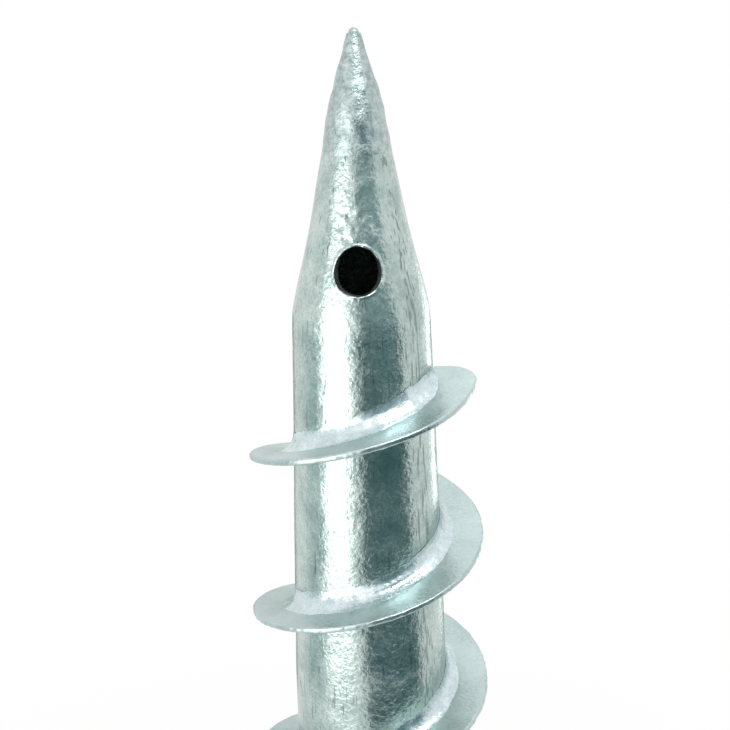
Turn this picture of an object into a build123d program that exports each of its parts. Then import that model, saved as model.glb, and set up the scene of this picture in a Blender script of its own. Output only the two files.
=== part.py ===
from build123d import *

import os
from math import atan2, degrees, radians, sqrt, tan

# A foundation ground screw: a swaged steel tube with a forged point welded into its nose, a flat bar
# wound and welded round it as the screw blade, and a bolted flange welded on as its head.
# It stands on the flange with the point up. The origin is the centre of the flange's flat underside,
# +Z runs up the tube's axis to the point, and the vent hole is on the -Y side. Sizes are millimetres
# and degrees. The sizes called "at" are measured back from the tip.

# Tube, swaged to a long taper, a rounded shoulder and a nose
overall_length = 865.0
tube_od = 76.1
tube_wall = 3.5
taper_at = 311.0
taper_round = 400.0
shoulder_at = 121.5
shoulder_radius = 31.4
shoulder_round = 60.0
waist_at = 84.0
waist_radius = 22.1
waist_round = 150.0
nose_wall = 4.6

# Forged point, with a spigot that locates it in the nose's bore
seat_at = 49.5
seat_radius = 14.9
point_break_at = 32.0
point_break_round = 30.0
tip_flank_angle = 17.0
tip_round = 3.6
spigot_length = 14.0
spigot_clearance = 0.15

# Weld that fills the V groove between the point and the nose
groove_depth = 2.6
groove_half_width = 2.4
groove_weld_crown = 0.5

# Vent hole, through one wall of the nose
vent_diameter = 21.0
vent_at = 99.5
vent_angle = -92.5

# Blade, one flat bar wound edge-on up the shaft, and its two fillet welds
blade_width = 20.4
blade_thickness = 3.0
blade_pitch = 80.0
blade_turns = 6.25
blade_at = 149.0
blade_start_angle = 6.0
blade_lead_round = 14.0
blade_trail_round = 4.0
fit_up_gap = 0.2
top_weld_leg = 5.0
under_weld_leg = 3.5
weld_hollow = 0.12
weld_stop = 4.0

# Head flange and its weld
flange_diameter = 220.0
flange_thickness = 8.0
flange_chamfer = 0.8
bolt_circle = 170.0
bolt_count = 6
bolt_hole_diameter = 17.0
flange_weld_leg = 6.0

# Heights and radii that follow from those sizes
tube_radius = tube_od / 2
bore_radius = tube_radius - tube_wall
taper_z = overall_length - taper_at
shoulder_z = overall_length - shoulder_at
waist_z = overall_length - waist_at
seat_z = overall_length - seat_at
point_break_z = overall_length - point_break_at
taper_angle = degrees(atan2(tube_radius - shoulder_radius, shoulder_z - taper_z))
nose_bore_radius = seat_radius - nose_wall
blade_top_z = overall_length - blade_at
blade_foot_z = blade_top_z - blade_turns * blade_pitch

os.makedirs("parts", exist_ok=True)


def wound_bar(section, foot_z, top_z):
    """A closed bar wound up the shaft at the blade's pitch, right-handed, from foot_z to top_z.

    section lists the corners of its cross-section as (out from the shaft, up from the blade's
    underside). The bar keeps to a cylinder below the start of the taper and to a cone above it, and
    each of its long faces is ruled between the helices of two neighbouring corners.
    """
    faces = []
    ends = []
    stretches = ((foot_z, taper_z, 0.0), (taper_z, top_z, taper_angle))
    for low_z, high_z, cone in stretches:
        turn = blade_start_angle - 360 * (blade_top_z - low_z) / blade_pitch
        lines = []
        for out, up in section:
            helix = Helix(
                pitch=blade_pitch,
                height=high_z - low_z,
                radius=tube_radius + fit_up_gap + out,
                cone_angle=-cone,
                mode=Mode.PRIVATE,
            )
            lines.append(helix.edge().moved(Location((0, 0, low_z + up), (0, 0, turn))))
        faces += [Face.make_surface_from_curves(a, b) for a, b in zip(lines, lines[1:] + lines[:1])]
        ends.append([line @ 0 for line in lines])
        ends.append([line @ 1 for line in lines])
    for corners in (ends[0], ends[-1]):
        faces.append(Face(Wire.make_polygon(corners, close=True)))
    return Solid(Shell(faces))


def fillet_section(leg, up, direction):
    """Corners of a fillet weld with a slightly hollow face, laid in the angle at height up."""
    hollow = leg * (0.5 - weld_hollow)
    return [
        (0, up),
        (leg, up),
        (hollow, up + direction * hollow),
        (0, up + direction * leg),
    ]


def corner_waste(outer_radius, corner_round, end_angle, end_z, side):
    """What lies outside a round on the bar's outer corner, where the bar ends at end_angle and end_z.

    side is 1 where the bar ends going up and -1 where it ends going down. The round touches the end
    face and the bar's outer edge.
    """
    over = blade_thickness
    centre = Vector(sqrt((outer_radius - corner_round) ** 2 - corner_round**2), -side * corner_round)
    with BuildPart() as waste:
        with BuildSketch(Plane.XY.offset(end_z - blade_pitch / 4).rotated((0, 0, end_angle))):
            with BuildLine():
                Polyline(
                    centre,
                    (centre.X, side * over),
                    (outer_radius + over, side * over),
                    centre * ((outer_radius + over) / centre.length),
                    close=True,
                )
            make_face()
            with Locations(centre):
                Circle(corner_round, mode=Mode.SUBTRACT)
        extrude(amount=blade_pitch / 2)
    return waste.part


# Tube: the wall is revolved between an outer and an inner line, each with its bends rounded
with BuildPart() as shaft_tube:
    with BuildSketch(Plane.XZ):
        with BuildLine():
            outside = FilletPolyline(
                (tube_radius, flange_thickness),
                (tube_radius, taper_z),
                (shoulder_radius, shoulder_z),
                (waist_radius, waist_z),
                (seat_radius, seat_z - groove_half_width),
                radius=(taper_round, shoulder_round, waist_round),
            )
            inside = FilletPolyline(
                (bore_radius, flange_thickness),
                (bore_radius, taper_z),
                (shoulder_radius - tube_wall, shoulder_z),
                (waist_radius - nose_wall, waist_z),
                (nose_bore_radius, seat_z - spigot_length),
                (nose_bore_radius, seat_z),
                radius=(taper_round, shoulder_round, waist_round, waist_round / 10),
            )
            Line(inside @ 0, outside @ 0)
            Polyline(inside @ 1, (seat_radius - groove_depth, seat_z), outside @ 1)
        make_face()
    revolve(axis=Axis.Z)
    vent_plane = Plane.YZ.rotated((0, 0, vent_angle)).move(Location((0, 0, overall_length - vent_at)))
    with BuildSketch(vent_plane):
        Circle(vent_diameter / 2)
    extrude(amount=tube_radius, mode=Mode.SUBTRACT)
shaft_tube.part.label = "shaft_tube"
export_step(shaft_tube.part, "parts/shaft_tube.step")


# Forged point: a solid of revolution that ends in a small dome, with its locating spigot
flank = radians(tip_flank_angle)
dome_z = overall_length - tip_round
with BuildPart() as forged_point:
    with BuildSketch(Plane.XZ):
        with BuildLine():
            dome = CenterArc((0, dome_z), tip_round, 90, tip_flank_angle - 90)
            flank_end = dome @ 1
            break_radius = flank_end.X + (flank_end.Y - point_break_z) * tan(flank)
            body = FilletPolyline(
                (flank_end.X, flank_end.Y),
                (break_radius, point_break_z),
                (seat_radius, seat_z + groove_half_width),
                radius=point_break_round,
            )
            Polyline(
                body @ 1,
                (seat_radius - groove_depth, seat_z),
                (nose_bore_radius - spigot_clearance, seat_z),
                (nose_bore_radius - spigot_clearance, seat_z - spigot_length),
                (0, seat_z - spigot_length),
                dome @ 0,
            )
        make_face()
    revolve(axis=Axis.Z)
forged_point.part.label = "forged_point"
export_step(forged_point.part, "parts/forged_point.step")

# Point weld: a ring that fills the V groove and stands slightly proud of it
with BuildPart() as point_weld:
    with BuildSketch(Plane.XZ):
        with BuildLine():
            groove = Polyline(
                (seat_radius, seat_z - groove_half_width),
                (seat_radius - groove_depth, seat_z),
                (seat_radius, seat_z + groove_half_width),
            )
            SagittaArc(groove @ 0, groove @ 1, -groove_weld_crown)
        make_face()
    revolve(axis=Axis.Z)
point_weld.part.label = "point_weld"
export_step(point_weld.part, "parts/point_weld.step")

# Blade: the outer corner of its leading end has a large round, that of its trailing end a small one
foot_radius = tube_radius + fit_up_gap + blade_width
lead_radius = foot_radius - (blade_top_z - taper_z) * tan(radians(taper_angle))
foot_angle = blade_start_angle - 360 * blade_turns
lead_waste = corner_waste(lead_radius, blade_lead_round, blade_start_angle, blade_top_z, 1)
trail_waste = corner_waste(foot_radius, blade_trail_round, foot_angle, blade_foot_z, -1)
blade_section = [
    (0, 0),
    (blade_width, 0),
    (blade_width, blade_thickness),
    (0, blade_thickness),
]
with BuildPart() as helix_blade:
    add(wound_bar(blade_section, blade_foot_z, blade_top_z))
    add(lead_waste, mode=Mode.SUBTRACT)
    add(trail_waste, mode=Mode.SUBTRACT)
helix_blade.part.label = "helix_blade"
export_step(helix_blade.part, "parts/helix_blade.step")

# Welds in the angles above and below the blade, each stopping short of its ends
stop_rise = blade_pitch * weld_stop / 360
with BuildPart() as helix_weld_top:
    add(wound_bar(fillet_section(top_weld_leg, blade_thickness, 1),
                  blade_foot_z + stop_rise, blade_top_z - stop_rise))
helix_weld_top.part.label = "helix_weld_top"
export_step(helix_weld_top.part, "parts/helix_weld_top.step")

with BuildPart() as helix_weld_under:
    add(wound_bar(fillet_section(under_weld_leg, 0, -1),
                  blade_foot_z + stop_rise, blade_top_z - stop_rise))
helix_weld_under.part.label = "helix_weld_under"
export_step(helix_weld_under.part, "parts/helix_weld_under.step")

# Head flange: its centre hole lines up with the tube's bore
with BuildPart() as head_flange:
    with BuildSketch():
        Circle(flange_diameter / 2)
        Circle(bore_radius, mode=Mode.SUBTRACT)
        with PolarLocations(bolt_circle / 2, bolt_count):
            Circle(bolt_hole_diameter / 2, mode=Mode.SUBTRACT)
    extrude(amount=flange_thickness)
    circles = head_flange.edges().filter_by(GeomType.CIRCLE)
    rims = circles.filter_by(lambda edge: edge.radius > bolt_circle / 2)
    chamfer(rims, length=flange_chamfer)
head_flange.part.label = "head_flange"
export_step(head_flange.part, "parts/head_flange.step")

# Flange weld: a fillet ring in the angle between the flange and the tube
with BuildPart() as flange_weld:
    with BuildSketch(Plane.XZ):
        with BuildLine():
            legs = Polyline(
                (tube_radius, flange_thickness + flange_weld_leg),
                (tube_radius, flange_thickness),
                (tube_radius + flange_weld_leg, flange_thickness),
            )
            SagittaArc(legs @ 1, legs @ 0, flange_weld_leg * weld_hollow)
        make_face()
    revolve(axis=Axis.Z)
flange_weld.part.label = "flange_weld"
export_step(flange_weld.part, "parts/flange_weld.step")
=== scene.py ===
# %% [markdown]
# # A galvanised ground screw
# A ground screw is a steel tube with a point at one end and a flange at the other, which a machine
# turns into the soil like a giant wood screw. This notebook dresses its solid model for a picture.
# Most of its pieces are surfaces worked out as whole arrays of points, so that the zinc on them can
# be a little uneven, as it is on steel that has been dipped in a bath of molten zinc.

# %% Load the solid model
import math

import bmesh
import bpy
import numpy as np
from mathutils import Matrix, Vector


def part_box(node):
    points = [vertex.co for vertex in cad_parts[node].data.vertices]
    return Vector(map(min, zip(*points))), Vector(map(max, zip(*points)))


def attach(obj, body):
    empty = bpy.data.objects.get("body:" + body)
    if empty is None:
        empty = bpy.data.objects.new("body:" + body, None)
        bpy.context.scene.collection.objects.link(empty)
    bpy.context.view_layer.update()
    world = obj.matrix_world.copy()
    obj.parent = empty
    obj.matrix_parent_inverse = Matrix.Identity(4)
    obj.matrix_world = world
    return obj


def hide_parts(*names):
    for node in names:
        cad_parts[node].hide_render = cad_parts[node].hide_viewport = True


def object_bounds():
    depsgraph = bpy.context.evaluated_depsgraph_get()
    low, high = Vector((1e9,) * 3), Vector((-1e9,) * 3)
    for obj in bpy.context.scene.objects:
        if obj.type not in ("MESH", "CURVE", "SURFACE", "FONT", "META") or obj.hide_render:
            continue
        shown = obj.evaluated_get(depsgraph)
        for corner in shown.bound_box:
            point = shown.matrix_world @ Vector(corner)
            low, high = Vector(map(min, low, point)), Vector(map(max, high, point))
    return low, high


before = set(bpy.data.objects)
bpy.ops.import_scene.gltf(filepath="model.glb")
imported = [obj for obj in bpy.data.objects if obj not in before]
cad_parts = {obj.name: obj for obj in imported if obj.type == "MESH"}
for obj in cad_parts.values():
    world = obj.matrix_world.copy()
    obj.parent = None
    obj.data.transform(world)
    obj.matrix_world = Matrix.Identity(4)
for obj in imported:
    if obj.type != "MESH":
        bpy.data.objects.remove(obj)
cad_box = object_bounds()
MM = 0.001
print("solid model:", len(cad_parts), "nodes")

# %% [markdown]
# ## Sizes
# Everything is placed from the solids. Heights down the screw are easiest to give as a distance back
# from the tip, because the tip, the nose and the blade's start are all measured from there. A name
# that ends in _at is such a distance, and one that ends in _z is a height above the floor.

# %% Sizes of the shaft and the blade, in millimetres
tip_z = cad_box[1][2] / MM
tube_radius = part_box("shaft_tube")[1].x / MM
flange_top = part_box("head_flange")[1].z / MM
nose_end_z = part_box("shaft_tube")[1].z / MM
tube_wall, nose_wall = 3.5, 4.6
taper_at, shoulder_at, shoulder_radius = 311.0, 121.5, 31.4
seat_at, seat_radius = 49.5, 14.9
taper_slope = (tube_radius - shoulder_radius) / (taper_at - shoulder_at)
nose_slope = (shoulder_radius - seat_radius) / (shoulder_at - seat_at)
waist_at, waist_dip, waist_length = 84.0, 0.75, 20.0
vent_at, vent_radius, vent_angle = 99.5, 10.5, math.radians(-92.5)
blade_pitch, blade_thickness, blade_width = 80.8, 3.0, 20.4
blade_start_angle = math.radians(-2.0)
blade_top_z = tip_z - 153.0
blade_foot_drop = 3.5  # the bar's trailing end lies this much lower than the solid blade's
blade_foot_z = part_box("helix_blade")[0].z / MM - blade_foot_drop
fit_up_gap = 0.2
print("tube radius", round(tube_radius, 2), "tip", round(tip_z, 1))
print("blade from", round(blade_foot_z, 1), "to", round(blade_top_z, 1))

# %% [markdown]
# ## The outline of the shaft
# A swaging machine squeezes the end of the tube down to a long, slight taper, a rounded shoulder and
# a nose. Each stretch is a straight line, so the outline is the lowest of three lines. A smooth
# minimum rounds the corners between them by a fraction of a millimetre, which gives the soft bends
# that swaging leaves, and needs no list of points.


# %% Outline and unevenness
corner_blend = 0.3  # rounds the corners of the outline, in millimetres
lattice = 32  # random values along each side of the lattice that lumps are read from


def smooth_min(values, blend):
    """Smooth minimum: minus blend times the log of the sum of exp(-value / blend)."""
    low = np.min(values, axis=0)
    return low - blend * np.log(np.sum(np.exp(-(np.asarray(values) - low) / blend), axis=0))


def shaft_radius(at):
    """Radius of the shaft at a distance back from the tip: the smooth minimum of the full tube, the
    taper's line and the nose's line, less a shallow bell-shaped waist in the nose."""
    at = np.asarray(at, float)
    lines = [
        np.full_like(at, tube_radius),
        shoulder_radius + (at - shoulder_at) * taper_slope,
        seat_radius + (at - seat_at) * nose_slope,
    ]
    waist = waist_dip * np.exp(-(((at - waist_at) / waist_length) ** 2))
    return smooth_min(lines, corner_blend) - waist


def lumps(points, size, seed):
    """Smooth random heights from -1 to 1: random values on a cubic lattice of the given size in
    millimetres, blended between its corners with the step 3t^2 - 2t^3."""
    table = np.random.default_rng(seed).uniform(-1, 1, (lattice, lattice, lattice))
    cell = np.asarray(points, float) / size
    low = np.floor(cell).astype(int)
    part = cell - low
    part = part * part * (3 - 2 * part)
    height = np.zeros(cell.shape[:-1])
    for corner in np.ndindex(2, 2, 2):
        weight = np.prod(np.where(corner, part, 1 - part), axis=-1)
        i, j, k = np.moveaxis((low + corner) % lattice, -1, 0)
        height += weight * table[i, j, k]
    return height


def round_the_axis(radius, angle, z):
    """Points at a radius, an angle and a height, as x = r cos a, y = r sin a."""
    radius, angle, z = np.broadcast_arrays(radius, angle, z)
    return np.stack([radius * np.cos(angle), radius * np.sin(angle), z], axis=-1)


print("shaft radius at 60, 120, 200, 400:", np.round(shaft_radius([60, 120, 200, 400]), 2))

# %% [markdown]
# ## Turning arrays into pieces
# A grid of points becomes a mesh when each square of four neighbours becomes a face. A grid that
# closes on itself joins its last row to its first. Seams are merged afterwards, so that no edge is
# left open.


# %% From grids to meshes
merge_distance = 1e-6  # metres
sharp_angle = math.radians(38)  # an edge that turns more than this stays crisp


def grid_faces(rows, columns, first=0, close_rows=False, close_columns=False):
    """The corner numbers of every square in a grid of points, as an array of four columns."""
    i = np.arange(rows if close_rows else rows - 1)
    j = np.arange(columns if close_columns else columns - 1)
    i, j = [a.ravel() for a in np.meshgrid(i, j, indexing="ij")]
    up, over = (i + 1) % rows, (j + 1) % columns
    corners = [i * columns + j, i * columns + over, up * columns + over, up * columns + j]
    return first + np.stack(corners, axis=-1)


def make_piece(name, points, faces, material, stands_for=()):
    """Put points in millimetres and faces into a mesh, merge its seams, turn its faces outwards,
    shade it smoothly and let it ride on the screw's one body."""
    mesh = bpy.data.meshes.new(name)
    mesh.from_pydata((np.asarray(points).reshape(-1, 3) * MM).tolist(), [], [list(f) for f in faces])
    work = bmesh.new()
    work.from_mesh(mesh)
    bmesh.ops.remove_doubles(work, verts=work.verts, dist=merge_distance)
    bmesh.ops.recalc_face_normals(work, faces=work.faces)
    open_edges = sum(1 for edge in work.edges if len(edge.link_faces) != 2)
    work.to_mesh(mesh)
    work.free()
    mesh.shade_smooth()
    mesh.set_sharp_from_angle(angle=sharp_angle)
    mesh.materials.append(material)
    piece = bpy.data.objects.new(name, mesh)
    bpy.context.scene.collection.objects.link(piece)
    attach(piece, "root")
    if stands_for:
        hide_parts(*stands_for)
    print(name, len(mesh.polygons), "faces,", open_edges, "open edges")
    return piece


# %% [markdown]
# ## Hot-dip galvanised steel
# The screw is mild steel dipped in molten zinc. The coat is metal, so its colour is in its
# reflection, and it sets with a dull, pale bloom in soft patches, a fine orange-peel skin, and a few
# dark streaks where the zinc ran down while the screw hung in the air. One function makes every
# coat, with the amount of each given by the piece. All patterns read Object coordinates, which are
# metres here, so a pattern of a given size in millimetres has a scale of one over that size.


# %% Colours and the node helper
def linear(hex_colour):
    """An sRGB hex colour as linear red, green, blue and alpha."""
    parts = [int(hex_colour[i : i + 2], 16) / 255 for i in (1, 3, 5)]
    return [p / 12.92 if p <= 0.04045 else ((p + 0.055) / 1.055) ** 2.4 for p in parts] + [1.0]


def add_node(tree, kind, settings=None, links=None):
    """Add a node, give its attributes or sockets their settings, and link its inputs."""
    node = tree.nodes.new(kind)
    for key, value in (settings or {}).items():
        if isinstance(key, int) or key in node.inputs:
            node.inputs[key].default_value = value
        else:
            setattr(node, key, value)
    for key, source in (links or {}).items():
        tree.links.new(source, node.inputs[key])
    return node


def pattern_scale(size_mm):
    """Scale of a noise whose features are size_mm apart, on coordinates in metres."""
    return 1 / (size_mm * MM)


def near_the_seam(tree, place, seam_angle):
    """How close a place is to a tube's seam: full within 3 degrees of it round the axis and nothing
    past 10. The angle is the arctangent of y over x."""
    xyz = add_node(tree, "ShaderNodeSeparateXYZ", {}, {"Vector": place})
    turn = add_node(tree, "ShaderNodeMath", {"operation": "ARCTAN2"},
                    {0: xyz.outputs["Y"], 1: xyz.outputs["X"]})
    off = add_node(tree, "ShaderNodeMath", {"operation": "SUBTRACT", 1: seam_angle},
                   {0: turn.outputs[0]})
    away = add_node(tree, "ShaderNodeMath", {"operation": "ABSOLUTE"}, {0: off.outputs[0]})
    near = add_node(tree, "ShaderNodeMapRange", {"From Min": 0.18, "From Max": 0.05, "To Max": 0.13},
                    {"Value": away.outputs[0]})
    return near.outputs[0]


def coat_colour(tree, place, both, pale, dark, streaks, seam_angle):
    """The coat's colour: from dark to pale as both rises, stained along the axis by narrow runs."""
    tone = add_node(tree, "ShaderNodeMapRange", {"From Min": 0.64, "From Max": 1.06}, {"Value": both})
    coat = add_node(tree, "ShaderNodeMix", {"data_type": "RGBA", 6: linear(dark), 7: linear(pale)},
                    {0: tone.outputs[0]})
    drawn = add_node(tree, "ShaderNodeMapping", {"Scale": (1.0, 1.0, run_stretch)}, {"Vector": place})
    runs = add_node(tree, "ShaderNodeTexNoise", {"Scale": pattern_scale(run_width_mm), "Detail": 2.0,
                    "Roughness": 0.5}, {"Vector": drawn.outputs[0]})
    level = runs.outputs["Fac"]
    if seam_angle is not None:
        thicker = add_node(tree, "ShaderNodeMath", {"operation": "ADD"},
                           {0: level, 1: near_the_seam(tree, place, seam_angle)})
        level = thicker.outputs[0]
    stain = add_node(tree, "ShaderNodeMapRange", {"From Min": 0.64, "From Max": 0.70,
                     "To Max": streaks}, {"Value": level})
    stained = add_node(tree, "ShaderNodeMix", {"data_type": "RGBA", 7: linear("#5c6c6c")},
                       {0: stain.outputs[0], 6: coat.outputs[2]})
    return stained.outputs[2]


# %% One function for every coat
grain_mm = 1.6  # zinc grains are far finer: they are drawn this coarse so that they show
run_width_mm, run_stretch = 1.3, 0.09  # a run is about eleven times as long as it is wide


def galvanised(name, pale, dark, patch_mm, roughness, peel_mm, peel_depth_mm, streaks, seam_angle=None):
    """Zinc-coated steel. pale and dark are the coat's two tones, patch_mm the size of its bloom,
    peel_mm and peel_depth_mm the pitch and depth of its orange-peel skin, streaks how strongly dark
    runs show along the axis. They lie thicker along a tube's seam, which is at seam_angle."""
    material = bpy.data.materials.new(name)
    material.use_nodes = True
    tree = material.node_tree
    tree.nodes.clear()
    place = add_node(tree, "ShaderNodeTexCoord").outputs["Object"]
    bloom = add_node(tree, "ShaderNodeTexNoise", {"Scale": pattern_scale(patch_mm), "Detail": 5.0,
                     "Roughness": 0.62, "Distortion": 0.4}, {"Vector": place})
    grain = add_node(tree, "ShaderNodeTexNoise", {"Scale": pattern_scale(grain_mm), "Detail": 3.0,
                     "Roughness": 0.7}, {"Vector": place})
    both = add_node(tree, "ShaderNodeMath", {"operation": "MULTIPLY_ADD", 1: 0.7},
                    {0: grain.outputs["Fac"], 2: bloom.outputs["Fac"]})
    colour = coat_colour(tree, place, both.outputs[0], pale, dark, streaks, seam_angle)
    rough = add_node(tree, "ShaderNodeMapRange", {"From Min": 0.6, "From Max": 1.1,
                     "To Min": roughness - 0.06, "To Max": roughness + 0.12},
                     {"Value": both.outputs[0]})
    peel = add_node(tree, "ShaderNodeTexNoise", {"Scale": pattern_scale(peel_mm), "Detail": 3.0,
                    "Roughness": 0.55}, {"Vector": place})
    skin = add_node(tree, "ShaderNodeBump", {"Strength": 1.0, "Distance": peel_depth_mm * MM},
                    {"Height": peel.outputs["Fac"]})
    shader = add_node(tree, "ShaderNodeBsdfPrincipled", {"Metallic": 0.92},
                      {"Base Color": colour, "Roughness": rough.outputs[0], "Normal": skin.outputs[0]})
    add_node(tree, "ShaderNodeOutputMaterial", {}, {"Surface": shader.outputs[0]})
    return material


# %% The screw's coats
# On the drawn tube the zinc is thin and bright, so the tube mirrors its surroundings in soft stripes.
tube_zinc = galvanised("zinc_on_swaged_tube", pale="#cbd8d3", dark="#9bafab", patch_mm=12.0,
                       roughness=0.20, peel_mm=2.4, peel_depth_mm=0.29, streaks=0.6,
                       seam_angle=math.radians(-42))
# The forged point keeps its hammer marks under the zinc, so it glitters in small broken facets.
point_zinc = galvanised("zinc_on_forged_point", pale="#c6d3d1", dark="#90a3a2", patch_mm=4.0,
                        roughness=0.27, peel_mm=1.0, peel_depth_mm=0.26, streaks=0.1)
# Flat bar cools slowly and sets with a duller, wider bloom, which gives the blade a satin face.
blade_zinc = galvanised("zinc_on_flat_bar", pale="#c6d6d4", dark="#aabbbb", patch_mm=18.0,
                        roughness=0.30, peel_mm=2.0, peel_depth_mm=0.14, streaks=0.1)
# Zinc is thickest and whitest in the corner that a weld fills, so the welds catch the light.
weld_zinc = galvanised("zinc_on_weld_bead", pale="#dfecee", dark="#bfcfd2", patch_mm=8.0,
                       roughness=0.24, peel_mm=1.9, peel_depth_mm=0.22, streaks=0.0)
# The thick plate stays hot longest, so its zinc turns to a matt, pale grey.
plate_zinc = galvanised("zinc_on_flange_plate", pale="#c5d2cf", dark="#a6b7b6", patch_mm=22.0,
                        roughness=0.34, peel_mm=2.4, peel_depth_mm=0.16, streaks=0.0)
print("coats:", [m.name for m in (tube_zinc, point_zinc, blade_zinc, weld_zinc, plate_zinc)])

# %% [markdown]
# ## The swaged tube and its vent hole
# The tube is hollow, with one round hole in its nose that lets the zinc in and the air out. A plain
# grid round the axis can't have a round hole, so a window of whole squares is left out of it. A
# patch fills the window: its rows run from the edge of the hole out to the window's border, spaced
# closer near the hole, where the zinc stands up in a thin beaded lip.

# %% Grid lines of the tube
around = 216
step = 2 * math.pi / around
angles = vent_angle + step * np.arange(around)
vent_z = tip_z - vent_at
fine_below_vent, middle_length, middle_step, plain_rows = 46, 180, 3.0, 60
fine = vent_z + np.arange(-fine_below_vent, int(nose_end_z - vent_z))
middle = fine[0] - np.arange(middle_length, 0, -middle_step)
plain = np.linspace(flange_top, middle[0], plain_rows)[:-1]
levels = np.concatenate([plain, middle, fine, [nose_end_z]])
vent_row = len(plain) + len(middle) + fine_below_vent
window_rows, window_columns = 17, 25
patch_rings, patch_crowding = 15, 1.6
bead_at, bead_half_width, bead_lump_mm, bead_seed = 0.5, 0.6, 1.8, 5
print("tube grid", len(levels), "x", around)


# %% One skin of the tube, outer or inner
def window_border():
    """Row and column steps from the vent, once round the border of the window."""
    r, c = window_rows, window_columns
    top = [(r, k) for k in range(c, -c, -1)]
    left = [(k, -c) for k in range(r, -r, -1)]
    bottom = [(-r, k) for k in range(-c, c)]
    right = [(k, c) for k in range(-r, r)]
    return np.array(top + left + bottom + right, float)


def tube_skin(radius_at, unevenness, lip):
    """Points and faces of one skin with its window patched, and the numbers of the hole's points.

    The patch blends from a circle round the vent to the window's border: the point for share t is
    circle + t^1.6 (border - circle), in millimetres round and along the shaft. The lip is a ring
    that is as high as lip just outside the hole and falls away as a bell curve."""
    base = radius_at(tip_z - levels)[:, None] + 0 * angles
    points = round_the_axis(base, angles, levels[:, None])
    points = points + unevenness(points) * points * [1, 1, 0] / base[..., None]
    faces = grid_faces(len(levels), around, close_columns=True)
    row, column = np.divmod(faces[:, 0], around)
    column = (column + around // 2) % around - around // 2
    inside = (abs(row + 0.5 - vent_row) < window_rows) & (abs(column + 0.5) < window_columns)
    border = window_border()
    middle = shaft_radius(vent_at)
    border_place = border * [1.0, step * middle]
    turn = np.arctan2(border_place[:, 0], border_place[:, 1])
    circle = vent_radius * np.stack([np.sin(turn), np.cos(turn)], axis=-1)
    share = (np.linspace(0, 1, patch_rings) ** patch_crowding)[:, None, None]
    place = circle + share * (border_place - circle)
    z = vent_z + place[..., 0]
    angle = vent_angle + place[..., 1] / middle
    reach = np.hypot(place[..., 0], place[..., 1]) - vent_radius
    patch_radius = radius_at(tip_z - z)
    patch = round_the_axis(patch_radius, angle, z)
    bell = np.exp(-(((reach - bead_at) / bead_half_width) ** 2))
    bead = lip * bell * (1 + 0.5 * lumps(patch, bead_lump_mm, bead_seed))
    patch = patch + (unevenness(patch) + bead[..., None]) * patch * [1, 1, 0] / patch_radius[..., None]
    first = points.size // 3
    patch_faces = grid_faces(*patch.shape[:2], first=first, close_columns=True)
    every = np.concatenate([points.reshape(-1, 3), patch.reshape(-1, 3)])
    return every, np.concatenate([faces[~inside], patch_faces]), first + np.arange(len(border))


wave_height, wave_mm, lump_height, lump_mm = 0.10, 16, 0.05, 6
pits_z, pits_reach, pit_mm, pit_depth, pit_rim = vent_z + 18.0, 8.0, 2.2, 1.3, 0.08


def outer_unevenness(points):
    """Millimetres by which the zinc stands off the shaft: wide soft waves, twice as long as they are
    wide, and small lumps, and a patch of pits above the vent hole, where ash lay in the bath. A pit
    is where lumps rise above pit_rim, and pits die away as a bell curve from the patch's middle."""
    waves = wave_height * lumps(points * [1, 1, 0.5], wave_mm, 1) + lump_height * lumps(points, lump_mm, 2)
    pits_middle = round_the_axis(shaft_radius(tip_z - pits_z), vent_angle, pits_z)
    away = np.linalg.norm(points - pits_middle, axis=-1)
    pits = np.clip(lumps(points, pit_mm, 3) - pit_rim, 0, None) * np.exp(-((away / pits_reach) ** 2))
    return (waves - pit_depth * pits)[..., None]


def bore_radius_at(at):
    """Radius of the bore: the shaft's, less a wall that thickens from the shoulder to the nose's end,
    because swaging pushes the steel together there."""
    return shaft_radius(at) - np.interp(at, [seat_at, shoulder_at], [nose_wall, tube_wall])


def smooth_bore(points):
    """No unevenness at all: the bore is out of sight."""
    return np.zeros(points.shape[:-1] + (1,))


# %% Join the two skins through the hole and at both ends
def bridge(outer_edge, inner_edge):
    """Faces between two closed rows of points, one on each skin."""
    return np.stack([outer_edge, np.roll(outer_edge, -1), np.roll(inner_edge, -1), inner_edge], -1)


lip_height = 0.35
outer, outer_faces, outer_ring = tube_skin(shaft_radius, outer_unevenness, lip_height)
inner, inner_faces, inner_ring = tube_skin(bore_radius_at, smooth_bore, 0.0)
shift = len(outer)
foot_row = np.arange(around)
nose_row = foot_row + (len(levels) - 1) * around
tube_faces = np.concatenate([
    outer_faces,
    inner_faces + shift,
    bridge(outer_ring, inner_ring + shift),
    bridge(foot_row, foot_row + shift),
    bridge(nose_row, nose_row + shift),
])
tube_points = np.concatenate([outer, inner])
make_piece("swaged_tube", tube_points, tube_faces, tube_zinc, ["shaft_tube"])

# %% [markdown]
# ## The forged point and its weld
# The point is a solid forging, welded into the end of the nose. Its flanks are built up and hammered.
# A sculpted mesh could show that, but a plain outline with lumps of three sizes added to it is easier
# to control. The lumps die away at the weld and near the tip. A spigot behind the point sits in the
# nose's bore, so the piece is closed.


# %% Forged point
dome_radius, flank_angle, heel_slope = 2.2, math.radians(17.2), 0.155
flank_radius, flank_at, heel_blend = 3.10, 2.55, 0.25


def point_radius(at):
    """Radius of the point at a distance back from the tip: a small dome, and past it the smooth
    minimum of two lines, a steep flank near the tip and a gentler heel that meets the weld."""
    at = np.asarray(at, float)
    dome = np.sqrt(np.clip(dome_radius**2 - (dome_radius - np.minimum(at, dome_radius)) ** 2, 0, None))
    flank = flank_radius + (at - flank_at) * math.tan(flank_angle)
    heel = seat_radius + (at - seat_at) * heel_slope
    return np.minimum(np.where(at < dome_radius, dome, np.inf), smooth_min([flank, heel], heel_blend))


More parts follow.
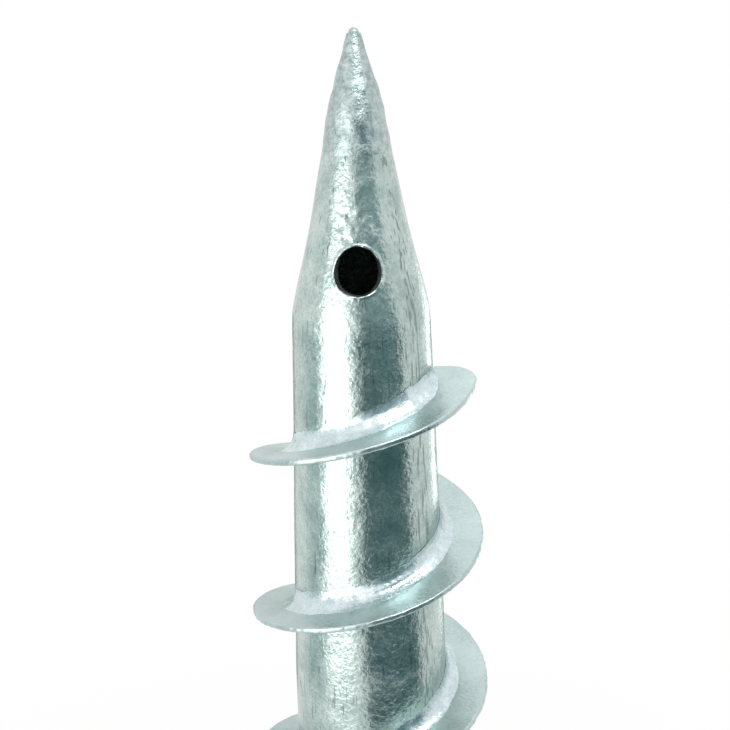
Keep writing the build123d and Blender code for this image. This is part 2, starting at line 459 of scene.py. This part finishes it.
point_columns, point_rows, dome_rows = 150, 110, 14
dome_turn = 1.5  # a little less than a quarter turn, because the flank starts there
dome_at = dome_radius * (1 - np.cos(np.linspace(0, dome_turn, dome_rows)))
point_at = np.concatenate([dome_at, np.linspace(dome_radius + 0.2, seat_at, point_rows)])
point_angles = np.linspace(0, 2 * math.pi, point_columns, endpoint=False)
body = round_the_axis(point_radius(point_at)[:, None], point_angles, (tip_z - point_at)[:, None])
print("point grid", len(point_at), "x", point_columns)

# %% Hammer marks and the spigot
hammer_marks = [(0.34, 7.0, 11), (0.12, 2.6, 12), (0.04, 1.2, 13)]  # depth, size and seed
plain_tip, fade_at_tip, fade_at_weld, least_radius = 1.0, 8.0, 3.0, 1.5
hammered = sum(depth * lumps(body, size, seed) for depth, size, seed in hammer_marks)
fade = np.clip((point_at - plain_tip) / fade_at_tip, 0, 1)
fade = fade * np.clip((seat_at - point_at) / fade_at_weld, 0, 1)
scale = 1 + (hammered * fade[:, None]) / np.maximum(point_radius(point_at), least_radius)[:, None]
body = body * np.stack([scale, scale, np.ones_like(scale)], -1)
groove_reach, spigot_radius, spigot_length = 2.6, 10.0, 14.0
spigot_end_at = seat_at + spigot_length
spigot = [(seat_radius - groove_reach, seat_at), (spigot_radius, seat_at)]
spigot += [(spigot_radius, spigot_end_at), (0.0, spigot_end_at)]
rows = [round_the_axis(r, point_angles, tip_z - at) for r, at in spigot]
body = np.concatenate([body, np.stack(rows)])
point_faces = grid_faces(len(body), len(point_angles), close_columns=True)
make_piece("hammered_point", body, point_faces, point_zinc, ["forged_point"])

# %% [markdown]
# ## Weld beads
# A weld bead is a small round of metal carried along a seam. Each ripple in it is where the pool of
# metal froze before the next one was laid. So a bead is one section carried along a path, and its
# size swells and shrinks with the ripples and with some random lumps.


# %% Point weld, a ring in the groove
ripple_mean = 0.6  # about the mean of a ripple's |sine|, taken off it so that a bead keeps its size
ring_ripple_share, ring_lump_mm = 0.5, 5.0


def ring_bead(name, section, count, ripple_mm, swell, seed, stands_for, coat=weld_zinc):
    """A closed section of (radius, z) corners carried round the axis. Each corner moves away from
    the section's foot, its first corner, by swell times a ripple and some lumps."""
    section = np.asarray(section, float)
    angle = np.linspace(0, 2 * math.pi, count, endpoint=False)[:, None]
    path = section[0, 0] * angle
    ripple = np.abs(np.sin(math.pi * path / ripple_mm)) - ripple_mean
    points = round_the_axis(section[:, 0], angle, section[:, 1])
    size = 1 + swell * (ring_ripple_share * ripple + lumps(points, ring_lump_mm, seed))
    grown = section[0] + (section - section[0]) * size[..., None]
    points = round_the_axis(grown[..., 0], angle, grown[..., 1])
    faces = grid_faces(count, len(section), close_rows=True, close_columns=True)
    return make_piece(name, points, faces, coat, stands_for)


def arc_between(start, end, bulge, count):
    """Points from start to end along a parabola that stands bulge off the straight line."""
    start, end = np.array(start, float), np.array(end, float)
    t = np.linspace(0, 1, count)[:, None]
    side = np.array([end[1] - start[1], start[0] - end[0]]) / np.linalg.norm(end - start)
    return start + t * (end - start) + 4 * bulge * t * (1 - t) * side


seat_z = tip_z - seat_at
sunk_above, sunk_below = 0.03, 0.02  # the weld's edges lie this far below the point and the nose
groove_above = (float(point_radius(seat_at - groove_reach)) - sunk_above, seat_z + groove_reach)
groove_below = (float(shaft_radius(seat_at + groove_reach)) - sunk_below, seat_z - groove_reach)
groove = arc_between(groove_above, groove_below, bulge=-0.10, count=11)
groove_section = np.concatenate([[(seat_radius - groove_reach, seat_z)], groove])
ring_bead("point_ring_weld", groove_section, count=220, ripple_mm=3.0, swell=0.04, seed=21,
          stands_for=["point_weld"], coat=point_zinc)

# %% [markdown]
# ## The blade
# The blade is one flat bar, wound edge-on round the shaft. A point on it is given by how far along
# the path it is and where it is in the bar's section. The path climbs one pitch a turn, and its
# radius follows the shaft, so the bar keeps its width while the shaft tapers. The bar's leading
# corner is rounded off, its faces wave a little from the winding, and zinc stands on its rim in
# beads where it ran off.


# %% The blade's path
def path_radius(z):
    """Radius of the shaft's straight taper at height z, plus the gap that the bar was fitted with."""
    return np.minimum(tube_radius, shoulder_radius + (tip_z - z - shoulder_at) * taper_slope) + fit_up_gap


blade_rise = blade_top_z - blade_foot_z
radians_per_mm = 2 * math.pi / blade_pitch
path_mm_per_rise = math.hypot(tube_radius + blade_width, blade_pitch / (2 * math.pi)) * radians_per_mm
blade_path_mm = blade_rise * path_mm_per_rise


def carried(section, along, mm_per_rise):
    """Points of a section of (out, up) corners carried up the blade's path, at distances back from
    its leading end: angle and height fall together, and out is added to the path's radius."""
    fall = along / mm_per_rise
    z = blade_top_z - fall
    angle = blade_start_angle - fall * radians_per_mm
    out, up = np.moveaxis(section, -1, 0)
    return round_the_axis(path_radius(z)[:, None] + out, angle[:, None], z[:, None] + up)


face_steps = np.array([0.0, 4.5, 9.0, 13.0, 16.5])  # how far out the points of each face lie


def rounded_bar(width, thickness, corner, per_side=7):
    """Corners of a flat bar's section, (out, up), with its two outer corners rounded."""
    turn = np.linspace(-math.pi / 2, math.pi / 2, 2 * per_side)
    bend = np.where(turn < 0, corner, thickness - corner)
    outer = np.stack([width - corner + corner * np.cos(turn), bend + corner * np.sin(turn)], -1)
    under = np.stack([face_steps, 0 * face_steps], -1)
    over = np.stack([face_steps[::-1], 0 * face_steps + thickness], -1)
    return np.concatenate([under, outer, over])


# %% Round the bar's ends
lead_round, trail_round, bar_corner, bar_step = 14.0, 4.0, 1.1, 0.8
quarter = np.linspace(0, math.pi / 2, 20)
lead_steps = lead_round * (1 - np.cos(quarter))
trail_steps = blade_path_mm - trail_round * (1 - np.cos(quarter[::-1]))
straight_steps = np.arange(lead_round + bar_step, trail_steps[0] - bar_step / 2, bar_step)
along = np.concatenate([lead_steps, straight_steps, trail_steps])
bar = rounded_bar(blade_width, blade_thickness, bar_corner)
section = np.broadcast_to(bar, (len(along),) + bar.shape).copy()
from_lead = np.clip(lead_round - along, 0, None)
from_trail = np.clip(trail_round - (blade_path_mm - along), 0, None)
lead_cut = lead_round - np.sqrt(lead_round**2 - from_lead**2)
trail_cut = trail_round - np.sqrt(trail_round**2 - from_trail**2)
share = section[..., 0] / blade_width
section[..., 0] -= (lead_cut + trail_cut)[:, None] * share
print("bar of", len(along), "sections,", round(blade_path_mm), "mm long at its rim")

# %% Wind the bar
bend_height, bend_mm, bend_stretch = 0.45, 38, [1, 1, 0.6]
drop_height, drop_mm, drop_from, speck_height, speck_mm = 0.7, 2.6, 0.2, 0.25, 1.6
rim_from, rim_full = 0.86, 0.12  # shares of the width: where the rim starts, and how soon it is full
stand_out, hang_down = 0.6, 0.35  # how far drops of zinc stand off the rim and hang under it
blade_points = carried(section, along, path_mm_per_rise)
bend = bend_height * lumps(blade_points * bend_stretch, bend_mm, 31)
bend = bend * np.clip(section[..., 0] / blade_width, 0, 1)
drops = drop_height * np.clip(lumps(blade_points, drop_mm, 32) - drop_from, 0, None)
drops = drops + speck_height * lumps(blade_points, speck_mm, 33)
rim = np.clip((share - rim_from) / rim_full, 0, 1)
blade_points = carried(section + np.stack([stand_out * rim * drops, bend], -1), along, path_mm_per_rise)
underside = section[..., 1] < blade_thickness / 2
blade_points[..., 2] -= hang_down * rim * np.clip(drops, 0, None) * underside
blade_faces = grid_faces(len(along), len(bar), close_columns=True).tolist()
last = (len(along) - 1) * len(bar)
blade_faces += [list(range(len(bar)))[::-1], [last + k for k in range(len(bar))]]
make_piece("wound_blade", blade_points, blade_faces, blade_zinc, ["helix_blade"])


# %% [markdown]
# ## The welds along the blade
# A fillet weld fills the angle between the blade and the shaft. It is laid by hand on the point side,
# so it is broad, bright and lumpy there, and it is smaller underneath. A curve with a bevel would make
# a round cord, so a weld's own hollow section is carried along the blade's path instead, and it is
# sunk a little into both pieces so that no gap shows.


# %% Fillet welds along the blade
sink = 0.45
stop_degrees = 4.0  # the weld stops this far short of the bar's ends
weld_step, run_out = 0.75, 22.0  # sections this far apart, and each end thins over this length
ridge_stretch, ridge_mm = 0.07, 1.4  # ridges are drawn out along the path
toe_swell, toe_mm = 0.08, 4.5  # the whole section swells and shrinks by this, in lumps this long
ripple_share, ripple_lean, thinnest = 0.25, 0.5, 0.10


def blade_bead(name, leg, up, side, ripple_mm, swell, seed, stands_for):
    """A fillet weld's section, two legs and a hollow quarter-circle face, carried along the blade's
    root. The face moves in and out with ripples, which slope back along the path, and with long
    ridges and lumps."""
    mm_per_rise = math.hypot(tube_radius, blade_pitch / (2 * math.pi)) * radians_per_mm
    stop = stop_degrees / 360 * blade_pitch * mm_per_rise
    length = blade_rise * mm_per_rise
    along = np.arange(stop, length - stop, weld_step)
    turn = np.linspace(0, math.pi / 2, 15)
    face = leg * np.stack([1 - np.sin(turn), 1 - np.cos(turn)], -1)
    corners = np.concatenate([[(0.0, 0.0)], face])
    far, out = np.broadcast_arrays(ridge_stretch * along[:, None], corners[:, 0])
    stretched = np.stack([far, out, corners[:, 1] + 0 * out], -1)
    toe = toe_swell * lumps(np.stack([along, 0 * along, 0 * along], -1), toe_mm, seed + 2)[:, None]
    leant = along[:, None] + ripple_lean * corners[:, 1]
    ripple = np.abs(np.sin(math.pi * leant / ripple_mm)) - ripple_mean
    size = 1 + toe + swell * (ripple_share * ripple + lumps(stretched, ridge_mm, seed))
    from_end = np.minimum(along - stop, length - stop - along)
    size *= np.sqrt(np.clip(from_end / run_out, thinnest, 1))[:, None]
    section = corners * size[..., None] * [1, side] + [-sink, up - side * sink]
    points = carried(section, along, mm_per_rise)
    faces = grid_faces(len(along), len(corners), close_columns=True).tolist()
    last = (len(along) - 1) * len(corners)
    faces += [list(range(len(corners)))[::-1], [last + k for k in range(len(corners))]]
    return make_piece(name, points, faces, weld_zinc, stands_for)


blade_bead("blade_weld_above", leg=9.0, up=blade_thickness, side=1, ripple_mm=4.0, swell=0.075,
           seed=41, stands_for=["helix_weld_top"])
blade_bead("blade_weld_below", leg=5.0, up=0.0, side=-1, ripple_mm=3.5, swell=0.07,
           seed=51, stands_for=["helix_weld_under"])

# %% [markdown]
# ## The head
# The flange is a plain plate, so its solid is kept and only given its coat. Its weld is one more
# ring bead.

# %% Flange and its weld
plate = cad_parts["head_flange"]
plate.data.materials.clear()
plate.data.materials.append(plate_zinc)
flange_leg = 6.0
root = (tube_radius, flange_top)
on_plate, on_tube = (tube_radius + flange_leg, flange_top), (tube_radius, flange_top + flange_leg)
weld_face = arc_between(on_plate, on_tube, bulge=0.5, count=11)
ring_bead("flange_weld_bead", np.concatenate([[root], weld_face]), count=420, ripple_mm=4.5,
          swell=0.10, seed=61, stands_for=["flange_weld"])

# %% [markdown]
# ## Floor and background
# The floor is pale and keeps the screw's shadow. The background is white where the camera, or a
# reflection, looks straight at it, and gives a plainer light to everything else. Metal shows what is
# round it, so cloth screens stand round the screw, out of the camera's sight. A dark one in front, to
# the right, makes the dark stripe that gives a round tube its shape. It leans, and pales towards its
# top, because the nose and the point look up at it. A pale one on the left tones that edge down, and
# one behind does the same for the blade's upper face.


# %% Flat materials
def straight_at(tree):
    """One where the ray comes from the camera, a reflection or through glass, and zero elsewhere."""
    path = add_node(tree, "ShaderNodeLightPath")
    first = add_node(tree, "ShaderNodeMath", {"operation": "MAXIMUM"},
                     {0: path.outputs["Is Camera Ray"], 1: path.outputs["Is Glossy Ray"]})
    both = add_node(tree, "ShaderNodeMath", {"operation": "MAXIMUM"},
                    {0: first.outputs[0], 1: path.outputs["Is Transmission Ray"]})
    return both.outputs[0]


def flat_material(name, colour, glow=0.0, clear_from=None, top_colour=None):
    """A plain matt surface, which may fade to a top colour as it rises past the screw's blade. Where
    the camera or a reflection looks at it, glow is how much of it is replaced by plain white light,
    which grows to all of it past clear_from metres from the screw."""
    material = bpy.data.materials.new(name)
    material.use_nodes = True
    tree = material.node_tree
    tree.nodes.clear()
    place = add_node(tree, "ShaderNodeTexCoord").outputs["Object"]
    matt = add_node(tree, "ShaderNodeBsdfDiffuse", {"Color": linear(colour)})
    if top_colour:
        height = add_node(tree, "ShaderNodeSeparateXYZ", {}, {"Vector": place})
        rise = add_node(tree, "ShaderNodeMapRange", {"From Min": 0.60, "From Max": 0.82},
                        {"Value": height.outputs["Z"]})
        fade = add_node(tree, "ShaderNodeMix", {"data_type": "RGBA", 6: linear(colour),
                        7: linear(top_colour)}, {0: rise.outputs[0]})
        tree.links.new(fade.outputs[2], matt.inputs["Color"])
    white = add_node(tree, "ShaderNodeEmission", {"Color": (1, 1, 1, 1), "Strength": 1.0})
    share = add_node(tree, "ShaderNodeMath", {"operation": "MULTIPLY", 1: glow}, {0: straight_at(tree)})
    if clear_from:
        reach = add_node(tree, "ShaderNodeVectorMath", {"operation": "LENGTH"}, {0: place})
        far = add_node(tree, "ShaderNodeMapRange", {"From Min": 0.4 * clear_from, "From Max": clear_from,
                       "To Min": glow, "To Max": 1.0}, {"Value": reach.outputs["Value"]})
        tree.links.new(far.outputs[0], share.inputs[1])
    mix = add_node(tree, "ShaderNodeMixShader", {},
                   {0: share.outputs[0], 1: matt.outputs[0], 2: white.outputs[0]})
    add_node(tree, "ShaderNodeOutputMaterial", {}, {"Surface": mix.outputs[0]})
    return material


# %% Floor
def stage_sheet(name, points, columns, material):
    """A floor or screen from a grid of points in metres, left out of the screw's body."""
    mesh = bpy.data.meshes.new(name)
    points = np.asarray(points, float).reshape(-1, 3)
    mesh.from_pydata(points.tolist(), [], grid_faces(len(points) // columns, columns).tolist())
    sheet = bpy.data.objects.new(name, mesh)
    mesh.materials.append(material)
    bpy.context.scene.collection.objects.link(sheet)
    return sheet


# Matt white paper: it takes a soft shadow and has no shine of its own.
floor_paper = flat_material("matt_white_floor", "#f4f5f5", glow=0.8, clear_from=1.0)
floor_half = 12.0
floor_corners = [(x, y, 0.0) for x in (-floor_half, floor_half) for y in (floor_half, -floor_half)]
stage_sheet("floor", floor_corners, 2, floor_paper)
print("floor", 2 * floor_half, "m across")


# %% Screens
def screen_points(start_degrees, end_degrees, distance, low, high, end_top=None):
    """A curved upright screen, part of a cylinder. Its angle is counted from the camera's side, and
    its far edge may lean, to stand at end_top degrees at its top."""
    ends = np.array([end_degrees, end_degrees if end_top is None else end_top])
    angle = np.radians(start_degrees + np.linspace(0, 1, 13)[:, None] * (ends - start_degrees))
    height = np.array([low, high])
    x, y, z = np.broadcast_arrays(distance * np.sin(angle), -distance * np.cos(angle), height)
    return np.stack([x, y, z], -1)


# Woven cotton cloth, matt all over, so that the zinc mirrors a plain tone and no texture.
dark_cloth = flat_material("grey_cloth", "#3d666c", top_colour="#86a3a8")
side_cloth = flat_material("pale_grey_cloth", "#d2e1e2")
back_cloth = flat_material("pale_green_cloth", "#8fa69a")
screens = [
    stage_sheet("grey_screen", screen_points(-8, 86, distance=0.75, low=0.0, high=1.2, end_top=42),
                2, dark_cloth),
    stage_sheet("side_screen", screen_points(-106, -72, distance=0.9, low=0.0, high=0.6), 2, side_cloth),
    stage_sheet("back_screen", screen_points(150, 210, distance=0.9, low=0.0, high=0.55), 2, back_cloth),
]
for screen in screens:
    screen.visible_camera = False
    screen.visible_shadow = False
    screen.visible_diffuse = False
print("screens:", [screen.name for screen in screens])

# %% White background
world = bpy.data.worlds.new("studio")
bpy.context.scene.world = world
world.use_nodes = True
tree = world.node_tree
tree.nodes.clear()
seen = straight_at(tree)
level = add_node(tree, "ShaderNodeMapRange", {"To Min": 0.7, "To Max": 1.0}, {"Value": seen})
sky = add_node(tree, "ShaderNodeBackground", {"Color": (1, 1, 1, 1)}, {"Strength": level.outputs[0]})
add_node(tree, "ShaderNodeOutputWorld", {}, {"Surface": sky.outputs[0]})
print("background white, and 0.7 of white as a light")

# %% [markdown]
# ## Lamps
# A tall soft lamp stands to the left of the camera and gives the bright stripe down the tube. It ends
# below the point, which stays satin. A weaker one behind, on the right, lifts that edge, one overhead
# lights the welds and the point, and a faint one high at the back clears the blade's far side.


# %% Lamps
def soft_lamp(name, degrees, distance, height, size, power, aim_z):
    """A rectangular lamp at an angle counted from the camera's side, turned to face the screw."""
    lamp = bpy.data.lights.new(name, "AREA")
    lamp.shape = "RECTANGLE"
    lamp.size, lamp.size_y = size
    lamp.energy = power
    holder = bpy.data.objects.new(name, lamp)
    angle = math.radians(degrees)
    holder.location = (distance * math.sin(angle), -distance * math.cos(angle), height)
    toward = Vector((0, 0, aim_z)) - holder.location
    holder.rotation_euler = toward.to_track_quat("-Z", "Y").to_euler()
    holder.visible_camera = False
    bpy.context.scene.collection.objects.link(holder)
    return holder


soft_lamp("left_strip", -45, distance=1.3, height=0.50, size=(0.95, 1.12), power=8.9, aim_z=0.50)
soft_lamp("back_strip", 140, distance=1.2, height=0.33, size=(0.4, 0.66), power=1.2, aim_z=0.33)
soft_lamp("high_back", 172, distance=0.9, height=1.7, size=(0.8, 0.8), power=0.7, aim_z=0.6)
soft_lamp("overhead", 20, distance=0.7, height=1.8, size=(0.7, 0.7), power=7.5, aim_z=0.6)

# %% [markdown]
# ## Camera
# The camera is close to the screw and looks down on it, so the point is nearer than the blade and
# the shaft seems to widen downwards.

# %% Camera
camera_data = bpy.data.cameras.new("camera")
camera = bpy.data.objects.new("camera", camera_data)
bpy.context.scene.collection.objects.link(camera)
bpy.context.scene.camera = camera
camera_distance, look_down, roll = 536.1, math.radians(18.17), 0.02775
aim_at = 164.6  # the camera's height is set by a spot on the axis, this far back from the tip
forward = Vector((0, math.cos(look_down), -math.sin(look_down)))
level_up = Vector((0, math.sin(look_down), math.cos(look_down)))
level_right = Vector((1, 0, 0))
right = level_right * math.cos(roll) - level_up * math.sin(roll)
up = level_right * math.sin(roll) + level_up * math.cos(roll)
place = Vector((0, 0, tip_z - aim_at)) - forward * camera_distance
turn = Matrix((right, up, -forward)).transposed().to_4x4()
camera.matrix_world = Matrix.Translation(place * MM) @ turn
camera_data.sensor_width = 36.0
camera_data.lens = 56.63
camera_data.shift_x, camera_data.shift_y = 0.0018, 0.0444
camera_data.clip_start = 0.01
bpy.context.scene.view_settings.view_transform = "Standard"
print("camera at", [round(c, 3) for c in camera.location])
